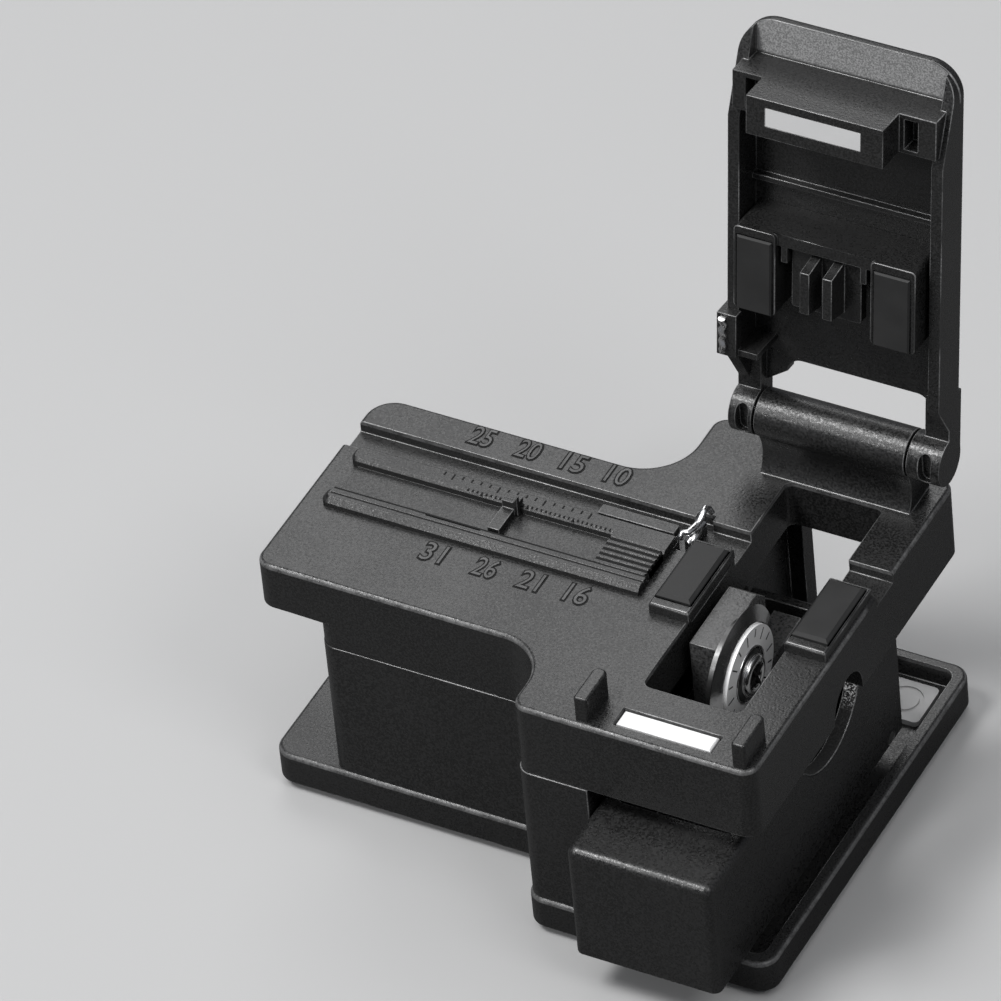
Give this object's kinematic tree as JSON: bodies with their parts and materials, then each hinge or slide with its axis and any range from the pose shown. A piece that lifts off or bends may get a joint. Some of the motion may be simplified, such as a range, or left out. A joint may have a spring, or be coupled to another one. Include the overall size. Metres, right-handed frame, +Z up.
{
  "type": "fibre cleaver",
  "caption": "Small fibre cleaver with hinged clamping lid, ruled fibre guide with sliding stop, and a sprung thumb carriage that draws a numbered round blade under the fibre.",
  "frame": {"origin": "on the surface the tool rests on, below the crossing of the fibre line and the blade plane", "axes": "+X along the fibre from the wing to the blade side, +Y the way the carriage is pushed, towards the hinge, +Z up"},
  "size_m": [0.0604, 0.0552, 0.0796],
  "materials": {
    "black_plastic": "fine spark texture",
    "black_paint": "satin, fine grained",
    "pad_rubber": "smooth matte",
    "mat_rubber": "matte",
    "magnet_plating": "bright nickel",
    "spring_steel": "bright wire",
    "polished_steel": "polished",
    "ground_steel": "fine ground",
    "dark_steel": "blackened",
    "pale_pad": "soft grey"
  },
  "bodies": {
    "body": {"anti_slip_mat": "mat_rubber", "base_plate": "black_paint", "lower_housing": "black_plastic", "top_cover": "black_paint", "case_screws": "dark_steel", "fibre_guide": "black_plastic", "left_pad_holder": "black_plastic", "right_pad_holder": "black_plastic", "lower_left_pad": "pad_rubber", "lower_right_pad": "pad_rubber", "fibre_clip": "polished_steel", "deck_magnet": "magnet_plating", "guide_posts": "black_plastic", "hinge_pin": "ground_steel", "linear_rail": "ground_steel", "rail_screws": "dark_steel", "spring_post": "ground_steel", "return_spring": "spring_steel", "buffer_pad": "pale_pad"},
    "stop_slider": {"length_stop": "black_plastic"},
    "carriage_unit": {"carriage": "black_paint", "runner": "ground_steel", "spring_pin": "ground_steel", "blade_holder": "black_paint", "height_screw": "dark_steel"},
    "blade_unit": {"blade_drum": "dark_steel", "blade": "ground_steel", "blade_dial": "ground_steel", "blade_screw": "polished_steel"},
    "lid_unit": {"lid": "black_paint", "lid_magnet": "magnet_plating", "pressure_block": "black_plastic", "upper_left_pad": "pad_rubber", "upper_right_pad": "pad_rubber", "lid_clip": "black_plastic", "clip_strip": "polished_steel", "anvil_spring": "spring_steel"},
    "anvil_unit": {"anvil": "black_plastic"}
  },
  "joints": [
    {"name": "stop_slide", "type": "slide", "parent": "body", "child": "stop_slider", "axis": [1, 0, 0], "range_m": [-0.005, 0.0093]},
    {"name": "carriage_slide", "type": "slide", "parent": "body", "child": "carriage_unit", "axis": [0, 1, 0], "range_m": [0, 0.008], "stiffness_N_per_m": 60, "springref_m": -0.004, "deforming": ["return_spring"]},
    {"name": "blade_turn", "type": "hinge", "parent": "carriage_unit", "child": "blade_unit", "pos_m": [0, -0.0047, 0.0245], "axis": [1, 0, 0], "continuous": true},
    {"name": "lid_hinge", "type": "hinge", "parent": "body", "child": "lid_unit", "pos_m": [0, 0.01865, 0.03614], "axis": [1, 0, 0], "range_deg": [0, 98.3]},
    {"name": "anvil_press", "type": "slide", "parent": "lid_unit", "child": "anvil_unit", "axis": [0, 0.9895, -0.1444], "range_m": [0, 0.0008], "stiffness_N_per_m": 300, "springref_m": -0.0004, "deforming": ["anvil_spring"]}
  ]
}
